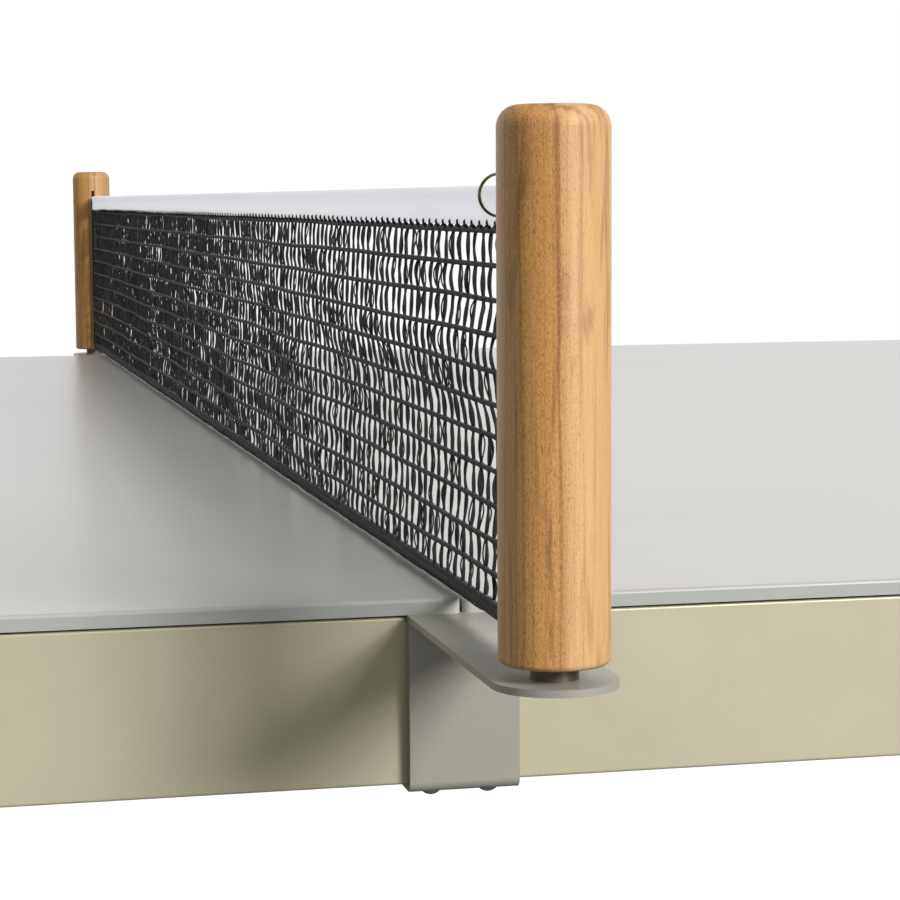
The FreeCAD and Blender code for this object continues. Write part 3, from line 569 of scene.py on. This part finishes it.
ROW_PITCH = 0.0121
TOP_ROW_DROP = 0.0018
COLUMN_PITCH = 0.01175
ROW_CORD_R = 0.00104
PLY_R = 0.00050
PLY_OFFSET = (0.00034, 0.0003)
PLY_TURN = (0.022, 0.040)
LOOP_R = 0.00030
LOOP_SHARE = 0.75
SLACK_PLACES = (0.5, 1.2)
SLACK_LOOPS = 3
CELL_STEPS = 8
TIP_RISE = 0.0017
TIP_R = 0.00068

# How far each cord, from the top one down to the hem, stands out of the net's plane (metres)
# at a few places along the net, and how far the threads between two cords bow
NEAR_DEPTHS = [0, 0, 0, -0.0019, -0.0019, -0.0005, 0.0017, 0.0017, 0.0014, 0.0002, 0.0002, 0]
NEXT_DEPTHS = [
    0, -0.001, -0.0014, -0.002, -0.0017, 0.0003, 0.0015, 0.0015, 0.0011, 0.0008, 0.0003, 0,
]
DEPTH_PLACES = [(0.0, NEAR_DEPTHS), (0.06, NEAR_DEPTHS), (0.18, NEXT_DEPTHS), (0.34, NEXT_DEPTHS)]
BOWS = [-0.0003, -0.0007, -0.0002, -0.001, -0.0003, 0.0002, 0.0, -0.0003, 0.0003, 0.0, -0.0002]
STATION_STEP = 0.13


def smooth(t):
    return t * t * (3 - 2 * t)


def row_heights():
    top = TAPE_LOW.z - TOP_ROW_DROP
    count = int((top - HEM_HIGH.z) / ROW_PITCH) + 1
    return [top - i * ROW_PITCH for i in range(count)]


def column_places():
    length = MESH_HIGH.y - MESH_LOW.y
    count = int(length / COLUMN_PITCH)
    start = MESH_LOW.y + (length - (count - 1) * COLUMN_PITCH) / 2
    return [start + i * COLUMN_PITCH for i in range(count)]


class NetShape:
    """The slack shape of the net: where each cord lies, and how each row of cells bows."""

    def __init__(self, rng):
        self.levels = row_heights() + [(HEM_LOW.z + HEM_HIGH.z) / 2 + 0.001]
        self.stations = list(DEPTH_PLACES)
        length = MESH_HIGH.y - MESH_LOW.y
        place = self.stations[-1][0] + STATION_STEP
        while place < length + STATION_STEP:
            self.stations.append((place, self.random_depths(rng)))
            place += STATION_STEP * rng.uniform(0.8, 1.3)
        self.wobble = [Drift(rng, 0.05, length) for _ in self.levels]
        self.lift = [Drift(rng, 0.06, length) for _ in self.levels]
        self.swell = [Drift(rng, 0.045, length) for _ in self.levels]

    def random_depths(self, rng):
        """Neighbouring cords move together; the top cord and the hem stay near the plane."""
        depths = []
        value = 0.0
        for i in range(len(self.levels)):
            value = 0.62 * value + rng.uniform(-1, 1) * 0.0013
            edge = min(i, len(self.levels) - 1 - i, 2) / 2
            depths.append(value * edge)
        return depths

    def depth(self, level, y):
        along = min(max(y - MESH_LOW.y, 0.0), self.stations[-1][0] - 1e-6)
        for (a, before), (b, after) in zip(self.stations, self.stations[1:]):
            if a <= along <= b:
                share = smooth((along - a) / (b - a))
                steady = before[level] * (1 - share) + after[level] * share
                return steady + 0.00025 * self.wobble[level].at(along)
        return 0.0

    def height(self, level, y):
        return self.levels[level] + 0.00035 * self.lift[level].at(max(y - MESH_LOW.y, 0.0))

    def bow(self, level, y):
        along = max(y - MESH_LOW.y, 0.0)
        near = math.exp(-along / 0.5)
        return BOWS[level] * near + 0.0007 * (1 - 0.6 * near) * self.swell[level].at(along)


def make_row_cords(tubes, shape):
    """The lengthwise cords: chain-stitched, thicker where each column is knitted in."""
    steps = int((MESH_HIGH.y - MESH_LOW.y) / (COLUMN_PITCH / 9))
    places = np.linspace(MESH_LOW.y, MESH_HIGH.y, steps)
    phase = (places - column_places()[0]) / COLUMN_PITCH * 2 * math.pi
    knot = (np.cos(phase) * 0.5 + 0.5) ** 4
    for level in range(len(shape.levels) - 1):
        x = [shape.depth(level, y) for y in places]
        z = [shape.height(level, y) for y in places]
        stitch = 0.05 * np.sin(phase * 3 + level)
        radius = ROW_CORD_R * (0.91 + stitch + 0.26 * knot)
        tubes.add(np.column_stack([x, places, z]), radius, sides=8, across=(1, 0, 0))


def cell_point(shape, level, y, t):
    """Point on the way down one cell: t is 0 at the cord above and 1 at the cord below."""
    x = shape.depth(level, y) * (1 - t) + shape.depth(level + 1, y) * t
    x += shape.bow(level, y) * math.sin(math.pi * t)
    z = shape.height(level, y) * (1 - t) + shape.height(level + 1, y) * t
    return x, z


def make_columns(tubes, shape, rng):
    """The crosswise strands: two plies twisted together, with loose thin loops beside them."""
    cells = len(shape.levels) - 1
    for y in column_places():
        slips = [rng.uniform(-0.0005, 0.0005) for _ in range(cells)]
        outs = [rng.uniform(-0.00035, 0.00035) for _ in range(cells)]
        start_turn = rng.uniform(0, 2 * math.pi)
        pitch = rng.uniform(*PLY_TURN)
        for ply in (0, math.pi):
            path = []
            for level in range(cells):
                last = level == cells - 1
                for step in range(CELL_STEPS + last):
                    t = step / CELL_STEPS
                    x, z = cell_point(shape, level, y, t)
                    belly = math.sin(math.pi * t)
                    turn = start_turn + ply + 2 * math.pi * z / pitch
                    spread = 0.55 + 0.45 * belly
                    x += outs[level] * belly + PLY_OFFSET[0] * spread * math.cos(turn)
                    side = slips[level] * belly + PLY_OFFSET[1] * spread * math.sin(turn)
                    path.append((x, y + side, z))
            tubes.add(path, PLY_R, sides=5, across=(0, 1, 0))
        for level in range(cells):
            if rng.random() < LOOP_SHARE:
                for _ in range(rng.choice((1, 1, 2)) + slack_loops(y, rng)):
                    add_loop(tubes, shape, level, y, rng)


def slack_loops(y, rng):
    """More loose loops in a cell the nearer it is to the far end."""
    start, full = SLACK_PLACES
    share = min(max((y - MESH_LOW.y - start) / (full - start), 0.0), 1.0)
    return int(share * SLACK_LOOPS + rng.random())


def add_loop(tubes, shape, level, y, rng):
    """One slack thin thread that leaves the cord above and joins the cord below."""
    start = rng.uniform(-0.001, 0.001)
    end = rng.uniform(-0.001, 0.001)
    reach = rng.uniform(-0.0011, 0.0011)
    curl = rng.uniform(-0.0005, 0.0005)
    out = rng.choice((-1, 1)) * rng.uniform(0.0004, 0.0013)
    path = []
    for step in range(CELL_STEPS + 1):
        t = step / CELL_STEPS
        x, z = cell_point(shape, level, y, t)
        side = start * (1 - t) + end * t + reach * math.sin(math.pi * t)
        x += out * math.sin(math.pi * t) + curl * math.sin(2 * math.pi * t)
        path.append((x, y + side, z))
    tubes.add(path, LOOP_R, sides=5, across=(0, 1, 0))


def make_tips(tubes, shape, rng):
    """Stitches that tie the top cord to the tape: a thick slanted stroke on both faces."""
    for y in column_places():
        for sign in (-1, 1):
            base = y + rng.uniform(-0.0004, 0.0004)
            lean = rng.uniform(-0.0004, 0.0004)
            rise = TIP_RISE * rng.uniform(0.85, 1.15)
            bottom = shape.height(0, y)
            top = TAPE_LOW.z + rise
            path = [
                (0, base, bottom),
                (sign * 0.0011, base, TAPE_LOW.z - 0.0006),
                (sign * 0.0015, base + lean * 0.4, TAPE_LOW.z + 0.0008),
                (sign * 0.0015, base + lean * 0.8, TAPE_LOW.z + 0.6 * rise),
                (sign * 0.0011, base + lean, top),
            ]
            radius = TIP_R * np.array([1.0, 1.1, 1.05, 0.95, 0.7])
            tubes.add(path, radius, sides=6, across=(0, 1, 0))


def make_net(shape, rng):
    tubes = Tubes()
    make_row_cords(tubes, shape)
    make_columns(tubes, shape, rng)
    make_tips(tubes, shape, rng)
    net = tubes.piece("net", "net_thread", "net_set")
    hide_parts("net_mesh")
    return net


HEM_STRAND_R = 0.00125
HEM_FUZZ_R = 0.0003


def make_hem():
    """The thick bottom band: knitted strands lying side by side, with a fuzzy lower border."""
    rng = random.Random(SEED + 1)
    tubes = Tubes()
    start, end = HEM_LOW.y, HEM_HIGH.y
    middle = (HEM_LOW.z + HEM_HIGH.z) / 2
    places = np.linspace(start, end, int((end - start) / 0.002))
    strands = [(0.0, 0.0016), (0.0, -0.0016), (0.0008, 0.0), (-0.0008, 0.0)]
    for x0, z0 in strands:
        drift = Drift(rng, 0.010, end - start)
        sway = Drift(rng, 0.05, end - start)
        z = [middle + z0 + 0.0003 * drift.at(y - start) for y in places]
        x = [x0 + 0.0004 * sway.at(y - start) for y in places]
        wobble = np.array([1 + 0.12 * rng.uniform(-1, 1) for _ in places])
        tubes.add(np.column_stack([x, places, z]), HEM_STRAND_R * wobble, sides=7, across=(1, 0, 0))
    fine = np.linspace(start, end, int((end - start) / 0.0008))
    for x0, wave_length in ((-0.0008, 0.0031), (0.0008, 0.0037)):
        drift = Drift(rng, 0.008, end - start)
        z = [
            middle - 0.0026 + 0.0004 * math.sin(2 * math.pi * y / wave_length)
            + 0.0003 * drift.at(y - start)
            for y in fine
        ]
        path = np.column_stack([np.full(len(fine), x0), fine, z])
        tubes.add(path, HEM_FUZZ_R, sides=5, across=(1, 0, 0))
    hem = tubes.piece("hem", "net_thread", "net_set")
    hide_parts("net_hem")
    return hem


# --- Tape ------------------------------------------------------------------------------------

TAPE_CLOTH = 0.0005
TAPE_FOLD_R = 0.0018
TAPE_STEP = 0.006
ARC_STEPS = 10
# Half thickness of the folded tape at heights above its lower edge
TAPE_SIDE = [
    (0.0, 0.00090), (0.0003, 0.00125), (0.0012, 0.00140), (0.0032, 0.00138), (0.0042, 0.00118),
    (0.0065, 0.00112), (0.0090, 0.00125), (0.0108, 0.00160),
]
PATCH_EDGES = (0.052, 0.076)
PATCH_STEP = 0.00009
EYELET_HOLE_SHARE = 0.73


def tape_profile(fold_z):
    """Outer and inner outlines of the folded strip, from its left edge over to its right."""
    side = [(half, TAPE_LOW.z + rise) for rise, half in TAPE_SIDE]
    angles = [math.pi * i / ARC_STEPS for i in range(ARC_STEPS + 1)]
    outlines = []
    for inset in (0.0, TAPE_CLOTH):
        radius = TAPE_FOLD_R - inset
        arc = [(-radius * math.cos(a), fold_z + radius * math.sin(a)) for a in angles]
        left = [(-(half - inset), z) for half, z in side]
        right = [(half - inset, z) for half, z in reversed(side)]
        outlines.append(left + arc + right)
    return outlines


def make_tape():
    """The white band: one strip folded over the tension cord, hemmed along both edges."""
    rng = random.Random(SEED + 2)
    fold_z = TAPE_HIGH.z - TAPE_FOLD_R
    outer, inner = tape_profile(fold_z)
    loop = outer + inner[::-1]
    start, end = TAPE_LOW.y, TAPE_HIGH.y
    places = np.linspace(start, end, int((end - start) / TAPE_STEP))
    sway = Drift(rng, 0.07, end - start)
    dip = Drift(rng, 0.035, end - start)
    vertices = []
    for y in places:
        along = min(y - start, end - y)
        patch = sum(PATCH_STEP for edge in PATCH_EDGES if along < edge)
        for x, z in loop:
            low = (fold_z - z) / (fold_z - TAPE_LOW.z)
            slack = max(low, 0.0)
            puff = math.copysign(patch * min(slack * 4, 1.0), x)
            shift = 0.0002 * sway.at(y - start) * slack
            vertices.append((x + puff + shift, y, z + 0.0002 * dip.at(y - start) * slack))
    size = len(loop)
    faces = []
    for i in range(len(places) - 1):
        for k in range(size):
            n = (k + 1) % size
            faces.append((i * size + k, i * size + n, (i + 1) * size + n, (i + 1) * size + k))
    half = len(outer)
    for i, order in ((0, -1), (len(places) - 1, 1)):
        for k in range(half - 1):
            quad = (k, k + 1, size - 2 - k, size - 1 - k)
            faces.append(tuple(i * size + v for v in quad[::order]))
    tape = new_piece("tape", vertices, faces, "tape_cotton", "net_set")
    cut_eyelet_hole(tape)
    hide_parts("net_tape")
    return tape


def cut_eyelet_hole(tape):
    middle = (EYELET_LOW + EYELET_HIGH) / 2
    radius = EYELET_HOLE_SHARE * (EYELET_HIGH.z - EYELET_LOW.z) / 2
    bpy.ops.mesh.primitive_cylinder_add(
        vertices=32, radius=radius, depth=0.02, location=middle, rotation=(0, math.pi / 2, 0)
    )
    punch = bpy.context.object
    hole = tape.modifiers.new("eyelet_hole", "BOOLEAN")
    hole.operation = "DIFFERENCE"
    hole.object = punch
    bpy.context.view_layer.objects.active = tape
    bpy.ops.object.modifier_apply(modifier=hole.name)
    bpy.data.objects.remove(punch, do_unlink=True)
    tape.data.set_sharp_from_angle(angle=SMOOTH_ANGLE)


make_camera()
make_studio()
dress_cad_nodes()
net_rng = random.Random(SEED)
net = make_net(NetShape(net_rng), net_rng)
hem = make_hem()
tape = make_tape()
